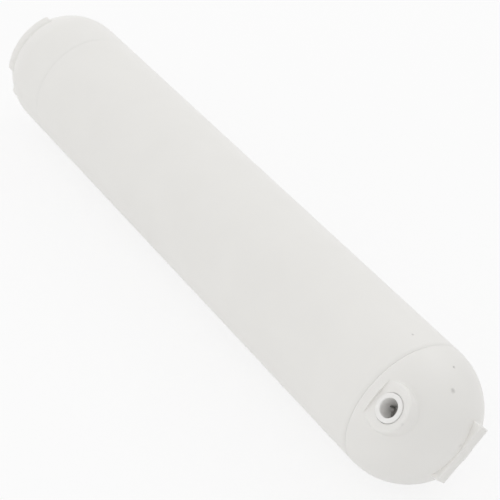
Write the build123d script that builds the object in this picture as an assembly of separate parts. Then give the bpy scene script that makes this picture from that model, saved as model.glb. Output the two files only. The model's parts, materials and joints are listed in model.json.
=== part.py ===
"""Sealed prefilter cartridge for an under-sink reverse osmosis water purifier.

A white moulded can lies on its side along X. Water enters the push-in port in the domed inlet cap at +X,
flows around the filter element, inwards through its wrap and carbon block to the core, and leaves through
the nozzle, the hub and the push-in port of the outlet cap at -X. Sizes are in millimetres.
"""

import os
from math import cos, radians, sin, sqrt

from build123d import *

# Can
body_diameter = 50.8
dome_span = 237.2  # between the centres of the two domed ends
housing_wall = 3.0
slip_fit = 0.05  # radial gap of pieces that plug into each other

# Seams between the tube and its caps
inlet_groove_width = 1.0
inlet_groove_depth = 0.5
outlet_groove_width = 0.5
outlet_groove_depth = 0.2
outlet_skirt = 17.0  # from the outlet dome's centre to the outlet seam
spigot_length = 8.0
spigot_wall = 2.2
spigot_root = 4.0  # length over which the spigot grows into the cap's wall

# Key fin on the inlet cap
fin_width = 22.5
fin_thickness = 4.8
fin_rise = 0.7  # beyond the dome's pole
fin_setback = 0.2  # from the can's axis to the fin's side that faces the port
fin_shift = 1.05  # the fin's middle lies this far to one side of the can's axis
fin_edge_round = 0.4

# Push-in ports
port_roll = 42.9  # the inlet port's lean from straight up, towards -Y
port_offset = 10.2  # from a dome's centre towards its pole
boss_diameter = 17.0
boss_setback = 1.0  # the boss's middle lies this far from the bore's axis, towards the seam
face_drop = 1.3  # the boss's flat face lies this far below the can's own radius
boss_edge_round = 0.9
flat_start = 3.7  # from a dome's centre to the step where the flat begins
tube_diameter = 6.35
tube_play = 0.125  # radial gap between the tube and the collet's bore
seat_play = 0.05  # radial gap between the tube and its seat behind the seal
seat_depth = 4.2
drilling_diameter = 4.4
drilling_length = 2.0

# Collet in each port
collet_wall = 0.7
collet_proud = 0.5
flange_overhang = 1.0  # flange beyond the sleeve
flange_thickness = 1.2
flange_gap = 0.15
flange_edge_round = 0.3
collet_travel = 1.0
travel_spare = 0.2
land_length = 1.5  # throat that guides the sleeve
cone_length = 5.6
cone_flare = 0.85
barb_height = 0.6
barb_length = 2.4
finger_gap = 0.9
finger_root = 1.4  # uncut sleeve left below the throat
tooth_reach = 0.2
tooth_width = 1.6
tooth_length = 0.8
tooth_setback = 0.9

# Seals
port_seal_section = 1.9
seal_play = 0.02
nozzle_seal_section = 1.5

# Grip ribs on the outlet cap
rib_start = 7.0  # measured from the outlet dome's centre
rib_end = 13.2
rib_back = 16.0
rib_drop = 1.65  # the ribs' crests lie this far below the can's own radius
rib_arc = 73.0
rib_pitch = 98.5
rib_end_round = 2.4
rib_root_radius = 0.9

# Outlet hub, which takes the element's nozzle
hub_diameter = 18.0
socket_depth = 11.0
socket_diameter = 12.2
hub_drilling_diameter = 6.0

# Filter element
wrap_play = 0.15  # radial gap where the wrap passes a cap's spigot
wrap_thickness = 1.5
block_bore = 14.0
core_wall = 1.5
core_slot_length = 10.0
core_slot_width = 2.0
core_slot_pitch = 17.0
plate_thickness = 2.5
lip_length = 5.0
lip_thickness = 0.8
lip_gap = 2.0  # between the outlet lip and the spigot's root
plug_length = 6.0
plug_wall = 1.8
vane_thickness = 2.0
vane_inner_radius = 8.0
vane_gap = 0.3
vane_count = 4
plate_gap = 5.0  # water space between the closed plate and the spigot
nozzle_end_gap = 1.0
nozzle_bore = 7.0
seal_groove_width = 2.0
seal_groove_setback = 4.0  # from the nozzle's tip

# Worked-out sizes
body_radius = body_diameter / 2
bore_radius = body_radius - housing_wall
overall_length = dome_span + body_diameter + fin_rise
inlet_centre = overall_length / 2 - fin_rise - body_radius
outlet_centre = inlet_centre - dome_span
outlet_seam = outlet_centre + outlet_skirt
spigot_end = inlet_centre - spigot_length
spigot_outer = bore_radius - slip_fit
spigot_inner = spigot_outer - spigot_wall

boss_radius = boss_diameter / 2
boss_face = body_radius - face_drop
collet_bore = tube_diameter / 2 + tube_play
sleeve_radius = collet_bore + collet_wall
throat_radius = sleeve_radius + slip_fit
flange_radius = sleeve_radius + flange_overhang
recess_radius = flange_radius + flange_gap
recess_depth = flange_thickness - collet_proud + collet_travel + travel_spare
land_floor = boss_face - recess_depth - land_length
cone_floor = land_floor - cone_length
cone_mouth = throat_radius + barb_height / 2
seal_radius = cone_mouth + cone_flare
seal_floor = cone_floor - port_seal_section - collet_travel / 2
seat_floor = seal_floor - seat_depth
boss_root = seat_floor - drilling_length
collet_tip = cone_floor + collet_travel - travel_spare

rib_radius = body_radius - rib_drop
element_start = outlet_seam - spigot_root - lip_gap - lip_length
hub_mouth = element_start - plate_thickness
socket_floor = hub_mouth - socket_depth
element_end = spigot_end - plate_gap - plate_thickness
wrap_radius = spigot_inner - wrap_play
block_radius = wrap_radius - wrap_thickness
plate_radius = wrap_radius + slip_fit + lip_thickness
core_radius = block_bore / 2 - slip_fit
core_bore = core_radius - core_wall
nozzle_radius = socket_diameter / 2 - slip_fit
nozzle_tip = socket_floor + nozzle_end_gap
seal_groove_radius = socket_diameter / 2 - nozzle_seal_section
reach = 2 * body_diameter  # cutters pass right through


def direction(angle):
    """Unit vector across the can, at an angle from +Y towards +Z."""
    return Vector(0, cos(radians(angle)), sin(radians(angle)))


inlet_angle = 90 + port_roll
outlet_angle = inlet_angle + 180


def turned(*corners):
    """Solid turned about the can's axis, from its (x, radius) corners."""
    return revolve(make_face(Polyline(*corners, close=True)), Axis.X)


def tube(start, end, inner, outer):
    return turned((start, inner), (end, inner), (end, outer), (start, outer))


def rod(start, end, radius):
    return tube(start, end, 0, radius)


def dome(centre, outward, radius):
    """Half ball whose pole points along X, outwards."""
    ball = Sphere(radius, arc_size1=0, arc_size2=90, align=(Align.CENTER, Align.CENTER, Align.MIN))
    return Pos(centre, 0, 0) * Rot(0, 90 * outward, 0) * ball


def seam_groove(seam, width, depth):
    """Ring-shaped cutter for the V groove along a seam."""
    high = body_radius + depth
    low = body_radius - depth
    return turned((seam - width, high), (seam, low), (seam + width, high))


def port_frame(centre, outward, angle):
    """Frame of a port: Z out of its mouth from the can's axis, X towards the dome's pole."""
    origin = (centre + outward * port_offset, 0, 0)
    return Plane(origin=origin, x_dir=(outward, 0, 0), z_dir=direction(angle))


def post(low, high, radius):
    """Round bar on a port's own axis, between two distances from the can's axis."""
    return Pos(0, 0, low) * Cylinder(radius, high - low, align=(Align.CENTER, Align.CENTER, Align.MIN))


def port_boss(root):
    boss = post(root, boss_face, boss_radius)
    boss = fillet(boss.edges().sort_by(Axis.Z)[-1], boss_edge_round)
    return Pos(-boss_setback, 0, 0) * boss


def port_flat():
    """Cutter that carries the boss's flat face on into the dome, up to a straight step."""
    length = port_offset - flat_start
    block = Box(length, reach, reach, align=(Align.MAX, Align.CENTER, Align.MIN))
    return Pos(0, 0, boss_face) * block


def port_bore(drilling_end):
    """Stepped bore: recess for the flange, throat, cone, seal gland, tube seat and drilling."""
    bore = post(land_floor, reach, throat_radius)
    bore += post(boss_face - recess_depth, reach, recess_radius)
    cone = Cone(seal_radius, cone_mouth, cone_length, align=(Align.CENTER, Align.CENTER, Align.MIN))
    bore += Pos(0, 0, cone_floor) * cone
    bore += post(seal_floor, cone_floor, seal_radius)
    bore += post(seat_floor, seal_floor, tube_diameter / 2 + seat_play)
    bore += post(drilling_end, seat_floor, drilling_diameter / 2)
    return bore


def key_fin():
    """Low flat-topped bar across the inlet cap's pole, square to the port's axis and on its far side."""
    length = body_radius + fin_rise
    bar = Box(length, fin_thickness, fin_width, align=(Align.MIN, Align.MAX, Align.CENTER))
    bar = fillet(bar.edges().filter_by(Axis.X, reverse=True).group_by(Axis.X)[-1], fin_edge_round)
    return Pos(inlet_centre, 0, 0) * Rot(inlet_angle, 0, 0) * Pos(0, -fin_setback, -fin_shift) * bar


def grip_rib(angle):
    """Raised arc on the outlet dome, centred on an angle, with rounded ends."""
    start, end, back = (outlet_centre - place for place in (rib_start, rib_end, rib_back))
    foot = sqrt(body_radius**2 - rib_back**2) - housing_wall / 2
    outline = Polyline((start, foot), (start, rib_radius), (end, rib_radius), (back, foot), close=True)
    rib = revolve(make_face(outline), Axis.X, rib_arc)
    crest = rib.edges().filter_by(Axis.X).sort_by(lambda edge: edge.center().Y**2 + edge.center().Z**2)[-2:]
    rib = fillet(crest, rib_end_round)
    return Rot(angle - rib_arc / 2, 0, 0) * rib


def rib_root(angle):
    """Cutter for the rounded channel along the foot of a grip rib."""
    place = sqrt(body_radius**2 - rib_radius**2)
    ring = Pos(outlet_centre - place, rib_radius + rib_root_radius / 3) * Circle(rib_root_radius)
    return Rot(angle - rib_arc / 2, 0, 0) * revolve(ring, Axis.X, rib_arc)


def housing_tube():
    shell = tube(outlet_seam, inlet_centre, bore_radius, body_radius)
    shell -= seam_groove(inlet_centre, inlet_groove_width, inlet_groove_depth)
    return shell - seam_groove(outlet_seam, outlet_groove_width, outlet_groove_depth)


def spigot(seam, inward):
    """Ring that plugs a cap into the tube, rooted in the cap's wall."""
    ends = sorted((seam, seam + inward * spigot_length))
    root_ends = sorted((seam, seam - inward * spigot_root))
    root = tube(*root_ends, spigot_inner, bore_radius + slip_fit)
    return tube(*ends, spigot_inner, spigot_outer) + root


def inlet_cap():
    frame = port_frame(inlet_centre, 1, inlet_angle)
    cap = dome(inlet_centre, 1, body_radius) + key_fin()
    cap -= dome(inlet_centre, 1, bore_radius)
    cap += frame.location * port_boss(boss_root)
    cap += spigot(inlet_centre, -1)
    cap -= frame.location * port_flat()
    cap -= frame.location * port_bore(boss_root)
    return cap - seam_groove(inlet_centre, inlet_groove_width, inlet_groove_depth)


def outlet_hub():
    """Post inside the outlet dome, from its pole to the element's nozzle."""
    pole = outlet_centre - sqrt(bore_radius**2 - (hub_diameter / 2) ** 2) - housing_wall / 2
    return rod(pole, hub_mouth, hub_diameter / 2)


def outlet_cap():
    frame = port_frame(outlet_centre, -1, outlet_angle)
    rib_angles = (inlet_angle, inlet_angle + rib_pitch)
    cap = dome(outlet_centre, -1, body_radius)
    for angle in rib_angles:
        cap += grip_rib(angle)
    for angle in rib_angles:
        cap -= rib_root(angle)
    cap -= dome(outlet_centre, -1, bore_radius)
    cap += tube(outlet_centre, outlet_seam, bore_radius, body_radius)
    cap += spigot(outlet_seam, 1)
    cap += frame.location * port_boss(0)
    cap += outlet_hub()
    cap -= rod(socket_floor, reach, socket_diameter / 2)
    cap -= rod(outlet_centre - port_offset - drilling_diameter / 2, socket_floor, hub_drilling_diameter / 2)
    cap -= frame.location * port_flat()
    cap -= frame.location * port_bore(0)
    return cap - seam_groove(outlet_seam, outlet_groove_width, outlet_groove_depth)


def collet():
    """Sleeve with a flange outside and four sprung fingers with barbs inside."""
    top = boss_face + collet_proud
    flange_floor = top - flange_thickness
    barb_start = collet_tip + barb_length
    barb_radius = sleeve_radius + barb_height
    sleeve = post(collet_tip, top, sleeve_radius)
    flange = post(flange_floor, top, flange_radius)
    flange = fillet(flange.edges().sort_by(Axis.Z)[-1], flange_edge_round)
    fingers = post(collet_tip, barb_start - barb_length / 2, barb_radius)
    shoulder = Cone(barb_radius, sleeve_radius, barb_length / 2, align=(Align.CENTER, Align.CENTER, Align.MIN))
    fingers += Pos(0, 0, barb_start - barb_length / 2) * shoulder
    body = sleeve + flange + fingers
    body -= post(collet_tip, top, collet_bore)
    slot_top = land_floor - finger_root
    slot = Box(finger_gap, reach, slot_top - collet_tip, align=(Align.CENTER, Align.CENTER, Align.MIN))
    for turn in (0, 90):
        body -= Pos(0, 0, collet_tip) * Rot(0, 0, turn) * slot
    return body


def grip_teeth():
    """Four spring-steel teeth, one let into the bore of each finger."""
    low = collet_tip + tooth_setback
    ring = post(low, low + tooth_length, collet_bore) - post(low, low + tooth_length, collet_bore - tooth_reach)
    blade = Box(reach, tooth_width, reach, align=(Align.MIN, Align.CENTER, Align.CENTER))
    return [ring & (Rot(0, 0, 45 + 90 * quarter) * blade) for quarter in range(4)]


def port_seal():
    """Round-section seal lying on the floor of its gland."""
    section = port_seal_section / 2
    ring = Torus(seal_radius - section, section - seal_play)
    return Pos(0, 0, seal_floor + section) * ring


def sediment_wrap():
    return tube(element_start, element_end, block_radius, wrap_radius)


def carbon_block():
    return tube(element_start, element_end, block_bore / 2, block_radius - slip_fit)


def core_sleeve():
    """Slotted tube that keeps the block's bore open."""
    sleeve = tube(element_start, element_end, core_bore, core_radius)
    span = element_end - element_start - 2 * plug_length - core_slot_length
    count = int(span // core_slot_pitch) + 1
    middle = (element_start + element_end) / 2
    slot = Box(core_slot_length, core_slot_width, reach)
    for step in range(count):
        place = middle + (step - (count - 1) / 2) * core_slot_pitch
        for turn in (0, 90):
            sleeve -= Pos(place, 0, 0) * Rot(turn, 0, 0) * slot
    return sleeve


def element_lip(start, end):
    """Rim that holds an end of the wrap."""
    return tube(start, end, wrap_radius + slip_fit, plate_radius)


def inlet_element_cap():
    """Closed plate on the element, with vanes that stand on the inlet cap's spigot."""
    back = element_end + plate_thickness
    cap = rod(element_end, back, plate_radius)
    cap += element_lip(element_end - lip_length, element_end)
    cap += tube(element_end - plug_length, element_end, core_bore - slip_fit - plug_wall, core_bore - slip_fit)
    vane_length = bore_radius - vane_gap - vane_inner_radius
    vane = Box(spigot_end - element_end, vane_length, vane_thickness, align=(Align.MIN, Align.MIN, Align.CENTER))
    for step in range(vane_count):
        cap += Rot(360 / vane_count * step, 0, 0) * Pos(element_end, vane_inner_radius, 0) * vane
    return cap


def outlet_element_cap():
    """Open plate on the element, with the nozzle that plugs into the outlet hub."""
    cap = rod(hub_mouth, element_start, plate_radius)
    cap += element_lip(element_start, element_start + lip_length)
    cap += rod(element_start, element_start + plug_length, core_bore - slip_fit)
    cap += rod(nozzle_tip, hub_mouth, nozzle_radius)
    groove_start = nozzle_tip + seal_groove_setback
    cap -= tube(groove_start, groove_start + seal_groove_width, seal_groove_radius, reach)
    return cap - rod(nozzle_tip, element_start + plug_length, nozzle_bore / 2)


def nozzle_seal():
    section = nozzle_seal_section / 2
    ring = Torus(socket_diameter / 2 - section, section - seal_play)
    place = nozzle_tip + seal_groove_setback + seal_groove_width / 2
    return Pos(place, 0, 0) * Rot(0, 90, 0) * ring


def port_pieces(name, frame):
    """Collet, teeth and seal of one port, in the can's frame."""
    return {
        name + "_collet": frame.location * collet(),
        name + "_grip_teeth": Compound(children=[frame.location * tooth for tooth in grip_teeth()]),
        name + "_port_seal": frame.location * port_seal(),
    }


pieces = {
    "housing_tube": housing_tube(),
    "inlet_cap": inlet_cap(),
    "outlet_cap": outlet_cap(),
    "sediment_wrap": sediment_wrap(),
    "carbon_block": carbon_block(),
    "core_sleeve": core_sleeve(),
    "inlet_element_cap": inlet_element_cap(),
    "outlet_element_cap": outlet_element_cap(),
    "nozzle_seal": nozzle_seal(),
}
pieces.update(port_pieces("inlet", port_frame(inlet_centre, 1, inlet_angle)))
pieces.update(port_pieces("outlet", port_frame(outlet_centre, -1, outlet_angle)))

# The can lies on its side, so its axis is one radius above the ground
os.makedirs("parts", exist_ok=True)
for name, piece in pieces.items():
    export_step(Pos(0, 0, body_radius) * piece, "parts/" + name + ".step")
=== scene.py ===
# %% [markdown]
# # A sealed water prefilter in white plastic
# The real object is the first filter of an under-sink water purifier. It is a white moulded can that lies
# on its side: a plain tube between two domed caps, with a push-in port in each cap and a flat key fin
# across one pole. The CAD model is loaded as a fixed frame, so sizes and places come from it. Its meshes
# are flat triangles, so each moulding that can be seen is modelled again here as a smooth mesh with soft
# edges.

# %% Load the frame
import json
import math

import bpy
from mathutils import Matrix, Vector


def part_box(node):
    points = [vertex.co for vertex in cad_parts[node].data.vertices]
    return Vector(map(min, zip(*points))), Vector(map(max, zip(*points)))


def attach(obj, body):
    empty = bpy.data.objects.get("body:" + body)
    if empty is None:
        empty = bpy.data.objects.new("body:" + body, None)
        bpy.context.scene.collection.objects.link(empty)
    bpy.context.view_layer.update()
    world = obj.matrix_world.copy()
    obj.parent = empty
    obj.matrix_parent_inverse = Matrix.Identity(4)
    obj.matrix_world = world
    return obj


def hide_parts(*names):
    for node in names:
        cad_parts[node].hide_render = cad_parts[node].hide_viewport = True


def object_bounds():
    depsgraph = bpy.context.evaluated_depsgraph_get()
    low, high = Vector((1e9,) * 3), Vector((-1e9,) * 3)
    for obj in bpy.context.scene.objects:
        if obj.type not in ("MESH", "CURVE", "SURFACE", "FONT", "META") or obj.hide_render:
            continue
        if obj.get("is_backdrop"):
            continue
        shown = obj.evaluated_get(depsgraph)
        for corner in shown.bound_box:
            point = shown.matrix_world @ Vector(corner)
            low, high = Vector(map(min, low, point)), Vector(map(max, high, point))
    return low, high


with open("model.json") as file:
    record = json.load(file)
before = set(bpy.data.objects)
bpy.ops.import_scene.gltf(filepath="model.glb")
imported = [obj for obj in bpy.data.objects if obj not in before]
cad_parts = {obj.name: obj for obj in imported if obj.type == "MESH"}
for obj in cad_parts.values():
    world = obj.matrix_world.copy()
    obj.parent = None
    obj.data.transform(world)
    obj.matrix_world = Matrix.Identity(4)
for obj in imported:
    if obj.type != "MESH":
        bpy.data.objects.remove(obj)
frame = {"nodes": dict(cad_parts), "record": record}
cad_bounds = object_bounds()

# %% [markdown]
# ## Measures
# The frame knows the box of each CAD node and the place and axis of each mount. Reading the sizes from
# there keeps the visual pieces on the solids. Only small sizes, such as a rounding, are written here, in
# millimetres.

# %% Read the can's measures
mm = 0.001
mounts = {mount["name"]: mount for mount in frame["record"]["mounts"]}
can_radius = mounts["clip_band"]["dims"]["r_mm"] * mm
axis_height = mounts["clip_band"]["pos_m"][2]
outlet_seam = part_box("housing_tube")[0].x
inlet_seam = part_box("housing_tube")[1].x
inlet_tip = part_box("inlet_cap")[1].x
outlet_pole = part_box("outlet_cap")[0].x
outlet_centre = outlet_pole + can_radius
wall = 3.0 * mm
bore_radius = can_radius - wall
tube_length = inlet_seam - outlet_seam
print("the can's tube is", round(tube_length / mm, 1), "mm long")
print("the can is", round(2 * can_radius / mm, 1), "mm across")

# %% Read the ports' measures
inlet_port_x = mounts["inlet_port"]["pos_m"][0]
outlet_port_x = mounts["outlet_port"]["pos_m"][0]
inlet_axis = Vector(mounts["inlet_port"]["axis"])
inlet_lean = math.atan2(-inlet_axis.y, inlet_axis.z)
outlet_lean = inlet_lean + math.pi
tube_bore = mounts["inlet_port"]["dims"]["r_mm"] * mm
print("the inlet port leans", round(math.degrees(inlet_lean), 1), "degrees from straight up")

# %% [markdown]
# ## Turning round pieces
# Tube, domes, bosses and collets are all round, so they are turned as on a lathe: one point of a small
# plane is pushed along half of the section, and Spin carries that line around the axis. A lathe keeps the
# outline's few points readable, where a cylinder with many cuts would hide them. An outline is a list of
# radius and height.

# %% Helpers for a turned piece
def arc(centre_radius, centre_height, radius, start, end, steps):
    """Outline points of a round stretch, between two angles in degrees from straight out towards the top."""
    angles = [math.radians(start + (end - start) * step / steps) for step in range(steps + 1)]
    return [(centre_radius + radius * math.cos(a), centre_height + radius * math.sin(a)) for a in angles]


def turned(name, outline, closed=False, steps=192):
    """Solid turned about Z; an open outline starts and ends on the axis."""
    bpy.ops.object.select_all(action="DESELECT")
    bpy.ops.mesh.primitive_plane_add(size=mm, location=(0, 0, 0))
    piece = bpy.context.object
    piece.name = name
    bpy.ops.object.mode_set(mode="EDIT")
    bpy.ops.mesh.select_mode(type="VERT")
    bpy.ops.mesh.select_all(action="SELECT")
    bpy.ops.mesh.merge(type="CENTER")
    radius, height = outline[0]
    bpy.ops.transform.translate(value=(radius, 0, height))
    for next_radius, next_height in outline[1:] + outline[:1] * closed:
        step = (next_radius - radius, 0, next_height - height)
        bpy.ops.mesh.extrude_vertices_move(TRANSFORM_OT_translate={"value": step})
        radius, height = next_radius, next_height
    bpy.ops.mesh.select_all(action="SELECT")
    bpy.ops.mesh.spin(steps=steps, angle=math.tau, center=(0, 0, 0), axis=(0, 0, 1))
    close_mesh()
    return piece


def close_mesh():
    """Merge what a spin leaves double, and turn every face outwards."""
    bpy.ops.mesh.select_all(action="SELECT")
    bpy.ops.mesh.remove_doubles(threshold=0.002 * mm)
    bpy.ops.mesh.normals_make_consistent(inside=False)
    bpy.ops.object.mode_set(mode="OBJECT")


# %% Helpers that put a turned piece in its place
def settle(piece, location, rotation):
    """Turn and move a piece, then keep its place in its mesh."""
    bpy.ops.object.select_all(action="DESELECT")
    piece.select_set(True)
    bpy.context.view_layer.objects.active = piece
    piece.location = location
    piece.rotation_euler = rotation
    bpy.ops.object.transform_apply(location=True, rotation=True, scale=True)
    return piece


def along_can(piece):
    """Lay a piece along the can, so that its heights become places on X."""
    return settle(piece, (0, 0, axis_height), (0, math.pi / 2, 0))


def on_port(piece, port_x, lean):
    """Stand a piece on a port's axis, so that its heights count from the can's axis."""
    return settle(piece, (port_x, 0, axis_height), (lean, 0, 0))


# %% [markdown]
# ## The can's tube
# The tube is a plain extruded pipe. A cylinder with a Solidify modifier would do, but its ends also need
# the bevelled rims that make the seam lines, so the whole wall is turned from its section. One more ring
# of points beside each rim keeps the bevel's shading from spreading along the tube.

# %% Turn the tube
inlet_rim = (0.5 * mm, 0.35 * mm)
outlet_rim = (0.8 * mm, 0.1 * mm)


def pipe_outline(start, end, inner, outer, start_rim, end_rim):
    """Section of a wall with bevelled outer corners; a rim is a width along the wall and a depth into it."""
    start_width, start_depth = start_rim
    end_width, end_depth = end_rim
    first = [(outer - start_depth, start), (outer, start + start_width), (outer, start + 4 * start_width)]
    last = [(outer, end - 4 * end_width), (outer, end - end_width), (outer - end_depth, end)]
    return [(inner, start)] + first + last + [(inner, end)]


tube_section = pipe_outline(outlet_seam, inlet_seam, bore_radius, can_radius, outlet_rim, inlet_rim)
can_tube = along_can(turned("can_tube", tube_section, closed=True))
print("can_tube has", len(can_tube.data.polygons), "faces")

# %% [markdown]
# ## Joining and cutting
# A cap is one moulding made of several simple shapes. The Boolean modifier adds or takes away one shape
# from another. Its manifold solver is quick on the closed meshes that turning makes. Where two skins
# nearly meet it leaves hair-thin faces, so each finished cap is cleaned of them once.

# %% Helpers for booleans
thinnest_face = 0.005 * mm


def combine(piece, other, operation):
    """Add another closed shape to a piece, or cut it away, and drop the other shape."""
    modifier = piece.modifiers.new("combine", "BOOLEAN")
    modifier.operation = operation
    modifier.solver = "MANIFOLD"
    modifier.object = other
    bpy.context.view_layer.objects.active = piece
    bpy.ops.object.modifier_apply(modifier=modifier.name)
    bpy.data.objects.remove(other)
    return piece


def clean_skin(piece):
    """Take out the hair-thin faces that booleans leave."""
    bpy.ops.object.select_all(action="DESELECT")
    piece.select_set(True)
    bpy.context.view_layer.objects.active = piece
    bpy.ops.object.mode_set(mode="EDIT")
    bpy.ops.mesh.select_all(action="SELECT")
    bpy.ops.mesh.dissolve_degenerate(threshold=thinnest_face)
    bpy.ops.object.mode_set(mode="OBJECT")


def block(name, low, high, lean):
    """Box between two corners that are given about the can's axis and then leant with a port."""
    bpy.ops.object.select_all(action="DESELECT")
    low, high = Vector(low), Vector(high)
    bpy.ops.mesh.primitive_cube_add(size=1, location=(low + high) / 2)
    box = bpy.context.object
    box.name = name
    box.scale = high - low
    bpy.ops.object.transform_apply(location=True, rotation=False, scale=True)
    return settle(box, (0, 0, axis_height), (lean, 0, 0))


# %% [markdown]
# ## The push-in ports
# Each port is a round boss whose flat top also bites into the dome, up to a straight step. Its stepped
# bore holds the release collet, a seal and the tube's seat. Boss, flat and bore are the same in both
# caps, so each has one function, and only its place and lean differ.

# %% Measures of a port
boss_radius = 8.5 * mm
boss_setback = 1.0 * mm
boss_face = can_radius - 1.3 * mm
boss_edge = 0.9 * mm
face_spare = 0.05 * mm
flat_start = 3.7 * mm
recess_radius = 5.15 * mm
recess_floor = boss_face - 1.9 * mm
throat_radius = 4.05 * mm
throat_floor = recess_floor - 1.5 * mm
cone_mouth = 4.35 * mm
gland_radius = 5.2 * mm
cone_floor = throat_floor - 5.6 * mm
gland_floor = cone_floor - 2.4 * mm
seat_radius = 3.225 * mm
seat_floor = gland_floor - 4.2 * mm
drilling_radius = 2.2 * mm
inlet_boss_root = seat_floor - 2.0 * mm
print("a port's bore is", round((boss_face - seat_floor) / mm, 1), "mm deep to the tube's seat")


# %% Shapes of a port
def port_boss(root, port_x, outward, lean):
    """Round boss from its root up to just past its face, where the flat is cut."""
    top = boss_face + face_spare
    edge = arc(boss_radius - boss_edge, top - boss_edge, boss_edge, 0, 90, 8)
    outline = [(0, root), (boss_radius, root)] + edge + [(0, top)]
    return on_port(turned("boss", outline), port_x - outward * boss_setback, lean)


def port_flat(centre, outward, lean):
    """Box that cuts the flat across dome and boss, from the step outwards."""
    ends = sorted((centre + outward * flat_start, centre + outward * 2 * can_radius))
    low = (ends[0], -can_radius, boss_face)
    high = (ends[1], can_radius, 2 * can_radius)
    return block("flat", low, high, lean)


def port_bore(end, port_x, lean):
    """Stepped cutter: recess, throat, cone, the seal's gland, the tube's seat and the drilling to its end."""
    wide = [(0, 2 * can_radius), (recess_radius, 2 * can_radius), (recess_radius, recess_floor)]
    throat = [(throat_radius, recess_floor), (throat_radius, throat_floor), (cone_mouth, throat_floor)]
    gland = [(gland_radius, cone_floor), (gland_radius, gland_floor), (seat_radius, gland_floor)]
    seat = [(seat_radius, seat_floor), (drilling_radius, seat_floor), (drilling_radius, end), (0, end)]
    return on_port(turned("bore", wide + throat + gland + seat), port_x, lean)


# %% [markdown]
# ## Soft moulded edges
# On a moulding no edge is sharp, and bosses and ribs flow into the dome with small fillets. Bevelling the
# edges that booleans leave is fragile, so a voxel Remesh rebuilds the skin as even small quads and a
# Smooth modifier eases them: outer edges get round and inner corners fill up.

# %% Helper for soft edges
def mould(piece, grain, rounds):
    """Rebuild a piece's skin as quads of one size, and ease it a number of times."""
    remesh = piece.modifiers.new("even skin", "REMESH")
    remesh.mode = "VOXEL"
    remesh.voxel_size = grain
    ease = piece.modifiers.new("ease edges", "SMOOTH")
    ease.factor = 0.5
    ease.iterations = rounds
    bpy.context.view_layer.objects.active = piece
    bpy.ops.object.modifier_apply(modifier=remesh.name)
    bpy.ops.object.modifier_apply(modifier=ease.name)
    print(piece.name, "has", len(piece.data.polygons), "quads of", round(grain / mm, 2), "mm")


# %% [markdown]
# ## The inlet cap's outside
# The near cap is a half ball with the port's boss on it and a low flat-topped fin across its pole, which
# keys the can into its holder. The ball starts a little behind the seam and is trimmed there later, so
# that the soft skin doesn't round the rim.

# %% Model the inlet cap's outside
trim = 2.0 * mm
fin_width = 22.5 * mm
fin_thickness = 4.8 * mm
fin_setback = 0.2 * mm
fin_shift = 1.05 * mm
fin_edge = 0.35 * mm


def key_fin():
    low = (inlet_seam, fin_shift - fin_width / 2, -fin_setback - fin_thickness)
    high = (inlet_tip, fin_shift + fin_width / 2, -fin_setback)
    fin = block("fin", low, high, inlet_lean)
    bpy.ops.object.mode_set(mode="EDIT")
    bpy.ops.mesh.select_all(action="SELECT")
    bpy.ops.mesh.bevel(offset=fin_edge, segments=3, affect="EDGES")
    bpy.ops.object.mode_set(mode="OBJECT")
    return fin


ball = [(0, inlet_seam - trim), (can_radius, inlet_seam - trim)] + arc(0, inlet_seam, can_radius, 0, 90, 64)
inlet_dome = along_can(turned("inlet_dome", ball))
combine(inlet_dome, port_boss(inlet_boss_root, inlet_port_x, 1, inlet_lean), "UNION")
mould(inlet_dome, grain=0.3 * mm, rounds=6)
combine(inlet_dome, key_fin(), "UNION")
combine(inlet_dome, port_flat(inlet_seam, 1, inlet_lean), "DIFFERENCE")
combine(inlet_dome, port_bore(inlet_boss_root - trim, inlet_port_x, inlet_lean), "DIFFERENCE")

# %% [markdown]
# ## The inlet cap's inside
# The cap is a shell. One turned cutter trims it at the seam, bevels its rim and hollows it, with the boss
# left standing inside. Then the spigot, a ring that plugs into the tube, is added. It clears the tube's
# bore by a hair, so its root is a little wider and bites into the cap's wall.

# %% Hollow the inlet cap
spigot_outer = bore_radius - 0.05 * mm
spigot_inner = spigot_outer - 2.2 * mm
spigot_length = 8.0 * mm
spigot_root = 4.0 * mm
root_radius = bore_radius + 0.3 * mm


def inlet_hollow():
    rim_width, rim_depth = inlet_rim
    rim = [(can_radius, inlet_seam + rim_width), (can_radius - rim_depth, inlet_seam)]
    outside = [(0, inlet_seam - 3 * trim), (can_radius + trim, inlet_seam - 3 * trim)]
    step = [(can_radius + trim, inlet_seam + rim_width)]
    cavity = arc(0, inlet_seam, bore_radius, 0, 90, 32)
    hollow = along_can(turned("hollow", outside + step + rim + cavity))
    return combine(hollow, port_boss(inlet_boss_root, inlet_port_x, 1, inlet_lean), "DIFFERENCE")


def spigot(seam, inward):
    """Ring that plugs into the tube; inward is 1 or -1, the way along X from the seam into the cap."""
    rim_width, rim_depth = outlet_rim
    plug_end = seam - inward * spigot_length
    root_start = seam + inward * rim_width
    root_end = seam + inward * spigot_root
    lead_in = [(spigot_outer - rim_depth, plug_end), (spigot_outer, plug_end + inward * rim_width)]
    root = [(spigot_outer, root_start), (root_radius, root_start), (root_radius, root_end)]
    outline = [(spigot_inner, plug_end)] + lead_in + root + [(spigot_inner, root_end)]
    return along_can(turned("spigot", outline, closed=True))


combine(inlet_dome, inlet_hollow(), "DIFFERENCE")
combine(inlet_dome, spigot(inlet_seam, 1), "UNION")
clean_skin(inlet_dome)
print("inlet_dome has", len(inlet_dome.data.polygons), "faces after hollowing")

# %% [markdown]
# ## The outlet cap's outside
# The far cap has a short cylindrical skirt before its dome, and two raised arcs on the dome to grip it
# by. Each arc is a small four-sided section that Spin carries part of the way around the can. A thin
# channel runs along the foot of each arc. The outlet port sits on the hidden side.

# %% Helper for arcs around the can
rib_arc = math.radians(73.0)


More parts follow.
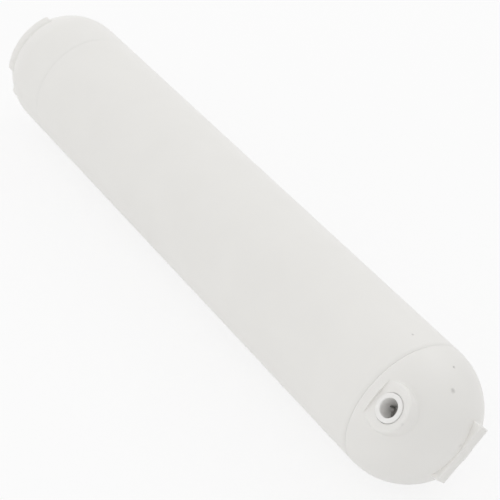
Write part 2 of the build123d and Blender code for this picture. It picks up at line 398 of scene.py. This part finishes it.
def swept(piece, centre_lean):
    """Spin a flat section about the can's axis, and centre the arc on a lean."""
    bpy.ops.object.mode_set(mode="EDIT")
    bpy.ops.mesh.select_all(action="SELECT")
    bpy.ops.mesh.spin(steps=48, angle=rib_arc, center=(0, 0, 0), axis=(1, 0, 0))
    close_mesh()
    middle = sum((vertex.co for vertex in piece.data.vertices), Vector()) / len(piece.data.vertices)
    made_lean = math.atan2(-middle.y, middle.z)
    return settle(piece, (0, 0, axis_height), (centre_lean - made_lean, 0, 0))


print("each grip rib spans", round(math.degrees(rib_arc)), "degrees")

# %% Model a grip rib
rib_radius = can_radius - 1.65 * mm
rib_start = outlet_centre - 7.0 * mm
rib_end = outlet_centre - 13.2 * mm
rib_back = outlet_centre - 16.0 * mm
rib_foot = math.sqrt(can_radius**2 - (outlet_centre - rib_back) ** 2) - wall / 2
rib_end_round = 2.4 * mm
same_place = 0.01 * mm


def grip_rib(centre_lean):
    bpy.ops.object.select_all(action="DESELECT")
    bpy.ops.mesh.primitive_plane_add(size=mm, location=(0, 0, 0))
    rib = bpy.context.object
    corners = ((rib_start, rib_foot), (rib_start, rib_radius), (rib_end, rib_radius), (rib_back, rib_foot))
    for index, (place, radius) in zip(rib.data.polygons[0].vertices, corners):
        rib.data.vertices[index].co = (place, 0, radius)
    swept(rib, centre_lean)
    round_rib_ends(rib, centre_lean)
    return rib


def round_rib_ends(rib, centre_lean):
    """Round the two crest edges at the ends of the arc."""
    bpy.ops.object.mode_set(mode="EDIT")
    bpy.ops.mesh.select_mode(type="EDGE")
    bpy.ops.mesh.select_all(action="DESELECT")
    bpy.ops.object.mode_set(mode="OBJECT")
    axis_point = Vector((0, 0, axis_height))
    ends = [Vector((0, -math.sin(lean), math.cos(lean))) * rib_radius + axis_point
            for lean in (centre_lean - rib_arc / 2, centre_lean + rib_arc / 2)]
    for edge in rib.data.edges:
        places = [rib.data.vertices[index].co for index in edge.vertices]
        edge.select = any(all((place - end).yz.length < same_place for place in places) for end in ends)
    bpy.ops.object.mode_set(mode="EDIT")
    bpy.ops.mesh.bevel(offset=rib_end_round, segments=6, affect="EDGES")
    bpy.ops.object.mode_set(mode="OBJECT")


print("a rib's crest lies", round((can_radius - rib_radius) / mm, 2), "mm below the can's radius")

# %% Model a rib's channel
channel_radius = 0.9 * mm
channel_x = outlet_centre - math.sqrt(can_radius**2 - rib_radius**2)


def rib_channel(centre_lean):
    bpy.ops.object.select_all(action="DESELECT")
    place = (channel_x, 0, rib_radius + channel_radius / 3)
    bpy.ops.mesh.primitive_circle_add(
        vertices=16, radius=channel_radius, fill_type="NGON", location=place, rotation=(math.pi / 2, 0, 0))
    bpy.ops.object.transform_apply(location=True, rotation=True, scale=True)
    return swept(bpy.context.object, centre_lean)


print("a channel starts", round((outlet_centre - channel_x) / mm, 1), "mm beyond the dome's centre")

# %% Model the outlet cap's outside
rib_pitch = math.radians(98.5)
skirt = [(can_radius, outlet_seam + trim), (0, outlet_seam + trim)]
outlet_dome = along_can(turned("outlet_dome", arc(0, outlet_centre, can_radius, -90, 0, 64) + skirt))
rib_leans = (inlet_lean, inlet_lean + rib_pitch)
for rib_lean in rib_leans:
    combine(outlet_dome, grip_rib(rib_lean), "UNION")
for rib_lean in rib_leans:
    combine(outlet_dome, rib_channel(rib_lean), "DIFFERENCE")
combine(outlet_dome, port_boss(0, outlet_port_x, -1, outlet_lean), "UNION")
mould(outlet_dome, grain=0.4 * mm, rounds=4)
combine(outlet_dome, port_flat(outlet_centre, -1, outlet_lean), "DIFFERENCE")
combine(outlet_dome, port_bore(0, outlet_port_x, outlet_lean), "DIFFERENCE")

# %% [markdown]
# ## The outlet cap's inside
# Inside the far cap a round hub takes the nozzle of the filter element and leads the water to the port.
# It is left standing when the cap is hollowed, as the boss is, and its stepped socket is cut last.

# %% Hollow the outlet cap
nozzle_length = 10.0 * mm
hub_radius = 9.0 * mm
hub_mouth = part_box("outlet_element_cap")[0].x + nozzle_length
socket_radius = 6.1 * mm
socket_depth = 11.0 * mm
socket_floor = hub_mouth - socket_depth
hub_drilling = 3.0 * mm
hub_drilling_end = outlet_port_x - drilling_radius


def outlet_hollow():
    rim_width, rim_depth = outlet_rim
    rim = [(can_radius - rim_depth, outlet_seam), (can_radius, outlet_seam - rim_width)]
    cavity = arc(0, outlet_centre, bore_radius, -90, 0, 32)
    open_end = outlet_seam + 3 * trim
    outside = [(can_radius + trim, outlet_seam - rim_width), (can_radius + trim, open_end), (0, open_end)]
    hollow = along_can(turned("hollow", cavity + [(bore_radius, outlet_seam)] + rim + outside))
    hub = [(0, outlet_pole), (hub_radius, outlet_pole), (hub_radius, hub_mouth), (0, hub_mouth)]
    combine(hollow, along_can(turned("hub", hub)), "DIFFERENCE")
    return combine(hollow, port_boss(0, outlet_port_x, -1, outlet_lean), "DIFFERENCE")


def hub_socket():
    mouth = [(0, hub_mouth + trim), (socket_radius, hub_mouth + trim), (socket_radius, socket_floor)]
    drilling = [(hub_drilling, socket_floor), (hub_drilling, hub_drilling_end), (0, hub_drilling_end)]
    return along_can(turned("socket", mouth + drilling))


combine(outlet_dome, outlet_hollow(), "DIFFERENCE")
combine(outlet_dome, spigot(outlet_seam, -1), "UNION")
combine(outlet_dome, hub_socket(), "DIFFERENCE")
clean_skin(outlet_dome)
print("outlet_dome has", len(outlet_dome.data.polygons), "faces after hollowing")

# %% [markdown]
# ## The release collets
# The ring around each port's hole is the flange of a collet: pressing it lets go of the tube. Inside,
# four sprung fingers with barbs hold steel teeth. The collet is turned from its whole section, with soft
# corners where they show, and two crossed slots then part the fingers.

# %% Model a collet
collet_top = boss_face + 0.5 * mm
collet_tip = cone_floor + 0.8 * mm
flange_radius = 5.0 * mm
flange_floor = collet_top - 1.2 * mm
sleeve_radius = 4.0 * mm
barb_radius = 4.6 * mm
barb_top = collet_tip + 1.2 * mm
barb_neck = collet_tip + 2.4 * mm
flange_edge = 0.3 * mm
mouth_edge = 0.35 * mm
finger_gap = 0.45 * mm
finger_top = throat_floor - 1.4 * mm


def collet(name, port_x, lean):
    """Turned ring with a flange, a sleeve and barbed fingers between two crossed slots."""
    mouth = arc(tube_bore + mouth_edge, collet_top - mouth_edge, mouth_edge, 180, 90, 5)
    rim = arc(flange_radius - flange_edge, collet_top - flange_edge, flange_edge, 90, 0, 5)
    neck = [(flange_radius, flange_floor), (sleeve_radius, flange_floor), (sleeve_radius, barb_neck)]
    barb = [(barb_radius, barb_top), (barb_radius, collet_tip)]
    outline = [(tube_bore, collet_tip)] + mouth + rim + neck + barb
    piece = turned(name, outline, closed=True, steps=128)
    for turn in (0, math.pi / 2):
        low = (-finger_gap, -2 * barb_radius, collet_tip - mm)
        high = (finger_gap, 2 * barb_radius, finger_top)
        slot = block("slot", low, high, 0)
        settle(slot, (0, 0, -axis_height), (0, 0, turn))
        combine(piece, slot, "DIFFERENCE")
    return on_port(piece, port_x, lean)


inlet_ring = collet("inlet_ring", inlet_port_x, inlet_lean)
outlet_ring = collet("outlet_ring", outlet_port_x, outlet_lean)
print("a collet stands", round((collet_top - boss_face) / mm, 2), "mm proud of its boss")

# %% [markdown]
# ## Smooth shading
# Curved faces are shaded smoothly and real corners stay crisp. Shading by angle does both: faces that
# meet at less than the angle are blended.

# %% Shade the modelled pieces
modelled = (can_tube, inlet_dome, outlet_dome, inlet_ring, outlet_ring)
bpy.ops.object.select_all(action="DESELECT")
for piece in modelled:
    piece.select_set(True)
bpy.context.view_layer.objects.active = can_tube
bpy.ops.object.shade_smooth_by_angle(angle=math.radians(40))
print("shaded", len(modelled), "pieces")

# %% [markdown]
# ## Finishes made of nodes
# Every finish is procedural: noise on Object coordinates, which stay with the piece. One helper makes a
# material with its shader, and others add the nodes that several finishes share.

# %% Helpers for finishes
def new_finish(name):
    finish = bpy.data.materials.new(name)
    finish.use_nodes = True
    nodes = finish.node_tree.nodes
    coordinates = nodes.new("ShaderNodeTexCoord").outputs["Object"]
    return finish, nodes["Principled BSDF"], coordinates


def grain(finish, coordinates, scale, detail):
    """Noise whose scale counts spots in a metre."""
    noise = finish.node_tree.nodes.new("ShaderNodeTexNoise")
    noise.inputs["Scale"].default_value = scale
    noise.inputs["Detail"].default_value = detail
    finish.node_tree.links.new(coordinates, noise.inputs["Vector"])
    return noise.outputs["Fac"]


def blend(finish, factor, first, second, low=0.35, high=0.65):
    """Colour that goes from one to the other as the factor goes from low to high."""
    ramp = finish.node_tree.nodes.new("ShaderNodeValToRGB")
    ramp.color_ramp.elements[0].position = low
    ramp.color_ramp.elements[1].position = high
    ramp.color_ramp.elements[0].color = (*first, 1)
    ramp.color_ramp.elements[1].color = (*second, 1)
    finish.node_tree.links.new(factor, ramp.inputs["Fac"])
    return ramp.outputs["Color"]


def remap(finish, factor, low, high):
    """Value between two ends, as the factor goes from 0 to 1."""
    node = finish.node_tree.nodes.new("ShaderNodeMapRange")
    node.inputs["To Min"].default_value = low
    node.inputs["To Max"].default_value = high
    finish.node_tree.links.new(factor, node.inputs["Value"])
    return node.outputs["Result"]


def relief(finish, shader, factor, depth, strength):
    """Fine bumps on the shader's normal, with a depth in metres."""
    bump = finish.node_tree.nodes.new("ShaderNodeBump")
    bump.inputs["Distance"].default_value = depth
    bump.inputs["Strength"].default_value = strength
    finish.node_tree.links.new(factor, bump.inputs["Height"])
    finish.node_tree.links.new(bump.outputs["Normal"], shader.inputs["Normal"])


# %% [markdown]
# ## White plastic with a little dirt and painted shade
# The can is satin white polypropylene. Up close its white clouds a little, its skin is faintly uneven,
# and light goes a little way into it, which keeps thin edges bright. Five small dark spots sit on the
# inlet end, at places counted from the inlet seam: three specks of dirt, a faint spot beside the fin at
# the pole, and painted shade on the rounded edge of the port's boss. Each is a round mask by distance
# from its centre, and noise on the coordinates makes its edge ragged.

# %% Helpers for specks of dirt and painted shade
specks = (
    # Three specks of dirt: centre counted from the inlet seam, radius and darkness.
    (Vector((16.15, 4.32, 44.53)) * mm, 1.1 * mm, 0.27),
    (Vector((9.7, 9.68, 46.79)) * mm, 0.6 * mm, 0.4),
    (Vector((-6.8, 5.56, 50.19)) * mm, 0.6 * mm, 0.3),
    # A faint dark spot beside the fin at the pole.
    (Vector((25.13, 1.85, 28.61)) * mm, 1.0 * mm, 0.1),
    # Painted shade on the rounded edge of the port's boss, on the side towards the pole.
    (Vector((17.6, -16.79, 42.29)) * mm, 0.7 * mm, 0.12),
)


def speck_mask(finish, coordinates, centre, radius, darkness):
    """Darkness around a centre, which fades out towards the radius."""
    nodes, links = finish.node_tree.nodes, finish.node_tree.links
    distance = nodes.new("ShaderNodeVectorMath")
    distance.operation = "DISTANCE"
    distance.inputs[1].default_value = centre
    links.new(coordinates, distance.inputs[0])
    fade = nodes.new("ShaderNodeMapRange")
    fade.inputs["From Min"].default_value = radius
    fade.inputs["From Max"].default_value = radius * 0.3
    fade.inputs["To Max"].default_value = darkness
    links.new(distance.outputs["Value"], fade.inputs["Value"])
    return fade.outputs["Result"]


def ragged(finish, coordinates, scale, reach):
    """Coordinates shifted a little by noise."""
    nodes, links = finish.node_tree.nodes, finish.node_tree.links
    noise = nodes.new("ShaderNodeTexNoise")
    noise.inputs["Scale"].default_value = scale
    links.new(coordinates, noise.inputs["Vector"])
    shift = nodes.new("ShaderNodeVectorMath")
    shift.operation = "MULTIPLY_ADD"
    shift.inputs[1].default_value = (reach, reach, reach)
    links.new(noise.outputs["Color"], shift.inputs[0])
    links.new(coordinates, shift.inputs[2])
    recentre = nodes.new("ShaderNodeVectorMath")
    recentre.operation = "SUBTRACT"
    recentre.inputs[1].default_value = (reach / 2, reach / 2, reach / 2)
    links.new(shift.outputs["Vector"], recentre.inputs[0])
    return recentre.outputs["Vector"]


# %% Make the white plastic
cloud_spots = 45
gloss_spots = 700
skin_spots = 900
skin_depth = 0.02 * mm
# Colour of the specks of dirt, also used for the spot of painted shade on the boss's edge.
dirt_and_shade_colour = (0.09, 0.08, 0.07, 1)
dirt_and_shade_edge_spots = 1800
dirt_and_shade_edge_reach = 0.7 * mm


def make_milky(shader):
    """Let light wander a little way below the surface."""
    shader.inputs["Subsurface Weight"].default_value = 0.35
    shader.inputs["Subsurface Radius"].default_value = (1, 1, 1)
    shader.inputs["Subsurface Scale"].default_value = 0.8 * mm


def white_plastic():
    finish, shader, coordinates = new_finish("white_plastic")
    nodes, links = finish.node_tree.nodes, finish.node_tree.links
    clouds = grain(finish, coordinates, cloud_spots, detail=3)
    colour = blend(finish, clouds, (0.878, 0.866, 0.838), (0.892, 0.88, 0.852))
    edge = ragged(finish, coordinates, dirt_and_shade_edge_spots, dirt_and_shade_edge_reach)
    # Darken the colour at each spot: the specks of dirt, the faint spot by the fin and the painted shade on
    # the boss's edge.
    for centre, radius, darkness in specks:
        mix = nodes.new("ShaderNodeMixRGB")
        mix.inputs["Color2"].default_value = dirt_and_shade_colour
        place = centre + Vector((inlet_seam, 0, 0))
        links.new(speck_mask(finish, edge, place, radius, darkness), mix.inputs["Fac"])
        links.new(colour, mix.inputs["Color1"])
        colour = mix.outputs["Color"]
    links.new(colour, shader.inputs["Base Color"])
    gloss = grain(finish, coordinates, gloss_spots, detail=2)
    links.new(remap(finish, gloss, 0.36, 0.5), shader.inputs["Roughness"])
    skin = grain(finish, coordinates, skin_spots, detail=2)
    relief(finish, shader, skin, skin_depth, strength=0.35)
    make_milky(shader)
    return finish


white_finish = white_plastic()
# The count of specks includes the faint spot by the fin and the spot of painted shade.
print("white plastic has", len(white_finish.node_tree.nodes), "nodes and", len(specks), "specks of dirt")

# %% [markdown]
# ## Finishes of the hidden pieces
# The can is sealed, so the filter element can't be seen, but its pieces belong to the model and get
# honest finishes: felt fibres, carbon grains, natural plastic and bright spring steel. The photograph
# shows nothing black in the port's hole, so the seals are a pale silicone rubber. The collets are a
# harder, slightly cooler white.

# %% Make the other finishes
def plain_finish(name, first, second, scale, roughness, bump_depth, metallic=0.0):
    """Two tones mixed by noise, with uneven gloss and a fine relief."""
    finish, shader, coordinates = new_finish(name)
    links = finish.node_tree.links
    tone = grain(finish, coordinates, scale, detail=4)
    links.new(blend(finish, tone, first, second), shader.inputs["Base Color"])
    links.new(remap(finish, tone, *roughness), shader.inputs["Roughness"])
    fine_grain = grain(finish, coordinates, 3 * scale, detail=3)
    relief(finish, shader, fine_grain, bump_depth, strength=0.4)
    shader.inputs["Metallic"].default_value = metallic
    return finish


collet_finish = plain_finish(
    "collet_plastic", (0.9, 0.89, 0.87), (0.93, 0.92, 0.9), 250, (0.3, 0.4), 0.01 * mm)
make_milky(collet_finish.node_tree.nodes["Principled BSDF"])
element_finish = plain_finish(
    "natural_plastic", (0.68, 0.68, 0.65), (0.75, 0.75, 0.73), 120, (0.4, 0.55), 0.02 * mm)
felt_finish = plain_finish(
    "wrap_felt", (0.66, 0.65, 0.6), (0.82, 0.81, 0.77), 1400, (0.85, 1.0), 0.2 * mm)
carbon_finish = plain_finish(
    "pressed_carbon", (0.012, 0.012, 0.012), (0.035, 0.034, 0.033), 1500, (0.7, 0.95), 0.15 * mm)
rubber_finish = plain_finish(
    "seal_rubber", (0.84, 0.83, 0.8), (0.9, 0.89, 0.86), 500, (0.5, 0.65), 0.01 * mm)
steel_finish = plain_finish(
    "spring_steel", (0.72, 0.72, 0.71), (0.8, 0.8, 0.79), 900, (0.25, 0.4), 0.005 * mm, 1.0)
print("the spring steel has", len(steel_finish.node_tree.nodes), "nodes")

# %% Put the finishes on
node_finishes = {
    "housing_tube": white_finish,
    "inlet_cap": white_finish,
    "outlet_cap": white_finish,
    "inlet_collet": collet_finish,
    "outlet_collet": collet_finish,
    "sediment_wrap": felt_finish,
    "carbon_block": carbon_finish,
    "core_sleeve": element_finish,
    "inlet_element_cap": element_finish,
    "outlet_element_cap": element_finish,
    "nozzle_seal": rubber_finish,
    "inlet_port_seal": rubber_finish,
    "outlet_port_seal": rubber_finish,
    "inlet_grip_teeth": steel_finish,
    "outlet_grip_teeth": steel_finish,
}


def dress(piece, finish):
    """Give a piece one finish and no other."""
    piece.data.materials.clear()
    piece.data.materials.append(finish)


for node_name, finish in node_finishes.items():
    dress(frame["nodes"][node_name], finish)
print("dressed", len(node_finishes), "CAD nodes")

# %% [markdown]
# ## Riding on the frame
# Each modelled piece stands for a CAD node and moves with that node's body. The caps and the tube are
# welded, so they ride on the can. Each ring rides on its own release.

# %% Tie the modelled pieces to the frame
pairs = (
    (can_tube, "housing_tube", "can"),
    (inlet_dome, "inlet_cap", "can"),
    (outlet_dome, "outlet_cap", "can"),
    (inlet_ring, "inlet_collet", "inlet_release"),
    (outlet_ring, "outlet_collet", "outlet_release"),
)
for piece, node_name, body in pairs:
    dress(piece, node_finishes[node_name])
    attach(piece, body)
    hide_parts(node_name)
    print(piece.name, "stands for", node_name, "and rides on", body)

# %% [markdown]
# ## Floor
# The photograph is a plain product shot on white. The floor is a large pale plane that throws light back
# up and takes the can's soft shadow. So that the picture's ground is white without more light on the can,
# the eye and the mirror rays see the floor mostly as a plain white glow, and only partly with its
# shading.

# %% Helper for rays that look
def looking_rays(nodes, links):
    """1 for rays of the camera, of gloss and of glass, and 0 for the rays that carry light around."""
    path = nodes.new("ShaderNodeLightPath")
    total = path.outputs["Is Camera Ray"]
    for kind in ("Is Glossy Ray", "Is Transmission Ray"):
        add = nodes.new("ShaderNodeMath")
        add.operation = "ADD"
        add.use_clamp = True
        links.new(total, add.inputs[0])
        links.new(path.outputs[kind], add.inputs[1])
        total = add.outputs["Value"]
    return total


# %% Lay the floor
floor_whiteness = 0.8
floor_size = 6
bpy.ops.object.select_all(action="DESELECT")
bpy.ops.mesh.primitive_plane_add(size=floor_size, location=(0, 0, 0))
floor = bpy.context.object
floor.name = "floor"
floor_finish, floor_shader, floor_coordinates = new_finish("pale_floor")
floor_nodes, floor_links = floor_finish.node_tree.nodes, floor_finish.node_tree.links
floor_clouds = grain(floor_finish, floor_coordinates, scale=3, detail=1)
floor_tone = blend(floor_finish, floor_clouds, (0.92, 0.92, 0.92), (0.94, 0.94, 0.94))
floor_links.new(floor_tone, floor_shader.inputs["Base Color"])
floor_shader.inputs["Roughness"].default_value = 0.9
white_glow = floor_nodes.new("ShaderNodeEmission")
white_glow.inputs["Strength"].default_value = 1.0
glow_share = remap(floor_finish, looking_rays(floor_nodes, floor_links), 0, floor_whiteness)
floor_mix = floor_nodes.new("ShaderNodeMixShader")
floor_links.new(glow_share, floor_mix.inputs["Fac"])
floor_links.new(floor_shader.outputs["BSDF"], floor_mix.inputs[1])
floor_links.new(white_glow.outputs["Emission"], floor_mix.inputs[2])
floor_links.new(floor_mix.outputs["Shader"], floor_nodes["Material Output"].inputs["Surface"])
dress(floor, floor_finish)
floor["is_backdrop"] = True
print("the floor is", round(floor.dimensions.x), "m across")

# %% [markdown]
# ## Tent light
# A white tent gives such soft light: it comes from all around, a little weaker from above and from beyond
# the inlet end. A world with a gradient along one direction does that. A ring of lamps would too, with
# more to set. As with the floor, the rays that look see plain white.

# %% Put up the white tent
sky_level = 0.91
sky_slope = Vector((-0.13, -0.1, -0.14))
scene = bpy.context.scene
scene.view_settings.view_transform = "Standard"
sky = bpy.data.worlds.new("white_tent")
scene.world = sky
sky.use_nodes = True
sky_nodes, sky_links = sky.node_tree.nodes, sky.node_tree.links
slope = sky_nodes.new("ShaderNodeVectorMath")
slope.operation = "DOT_PRODUCT"
slope.inputs[1].default_value = sky_slope
sky_links.new(sky_nodes.new("ShaderNodeTexCoord").outputs["Generated"], slope.inputs[0])
level = sky_nodes.new("ShaderNodeMath")
level.operation = "ADD"
level.inputs[1].default_value = sky_level
sky_links.new(slope.outputs["Value"], level.inputs[0])
tent_light = sky_nodes["Background"]
tent_light.inputs["Color"].default_value = (1, 1, 1, 1)
sky_links.new(level.outputs["Value"], tent_light.inputs["Strength"])
tent_white = sky_nodes.new("ShaderNodeBackground")
tent_white.inputs["Color"].default_value = (1, 1, 1, 1)
tent_white.inputs["Strength"].default_value = 1.0
tent_mix = sky_nodes.new("ShaderNodeMixShader")
sky_links.new(looking_rays(sky_nodes, sky_links), tent_mix.inputs["Fac"])
sky_links.new(tent_light.outputs["Background"], tent_mix.inputs[1])
sky_links.new(tent_white.outputs["Background"], tent_mix.inputs[2])
sky_links.new(tent_mix.outputs["Shader"], sky_nodes["World Output"].inputs["Surface"])
print("the tent shines at", sky_level, "on average, and", round(sky_level + sky_slope.z, 2), "from above")

# %% [markdown]
# ## Lamp
# One large soft lamp stands behind the can and above it, aimed at the outlet end. It makes that end and
# the can's back edge a little brighter, and its size keeps the shadow's edge soft.

# %% Add the lamp
lamp_place = Vector((-0.1, 0.9, 0.9))
lamp_size = 0.9
lamp_energy = 1.8
bpy.ops.object.light_add(type="AREA", location=lamp_place)
lamp = bpy.context.object
lamp.data.shape = "DISK"
lamp.data.size = lamp_size
lamp.data.energy = lamp_energy
lamp.rotation_mode = "QUATERNION"
lamp.rotation_quaternion = (Vector((outlet_seam, 0, axis_height)) - lamp_place).to_track_quat("-Z", "Y")
print("the lamp is", round(lamp_place.length, 2), "m from the frame's origin")

# %% [markdown]
# ## Camera
# The camera stands above the inlet end and looks down along the can, with a long lens. Its place and aim
# were found by matching the can's outline, seam and port with the photograph.

# %% Set the camera
camera_place = Vector((inlet_seam, 0, axis_height)) + Vector((10.366, -9.179, 14.187)) * can_radius
camera_view = Vector((-0.64198, 0.41708, -0.64335))
lens_length = 108.16
bpy.ops.object.camera_add(location=camera_place)
camera = bpy.context.object
camera.rotation_mode = "QUATERNION"
camera.rotation_quaternion = camera_view.to_track_quat("-Z", "Y")
camera.data.sensor_width = 36
camera.data.lens = lens_length
camera.data.clip_start = 0.01
scene.camera = camera
print("the camera is", round(camera_place.length, 3), "m from the frame's origin")

# %% [markdown]
# ## Last checks
# The visual model's box is measured again, and how far its top lies from the CAD model's box is printed.
# The visual model has to stay inside the CAD model's box.

# %% Compare the boxes
final_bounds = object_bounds()
top_change = [round((b - a) / mm, 3) for a, b in zip(cad_bounds[1], final_bounds[1])]
print("the box changed by", top_change, "mm at the top")
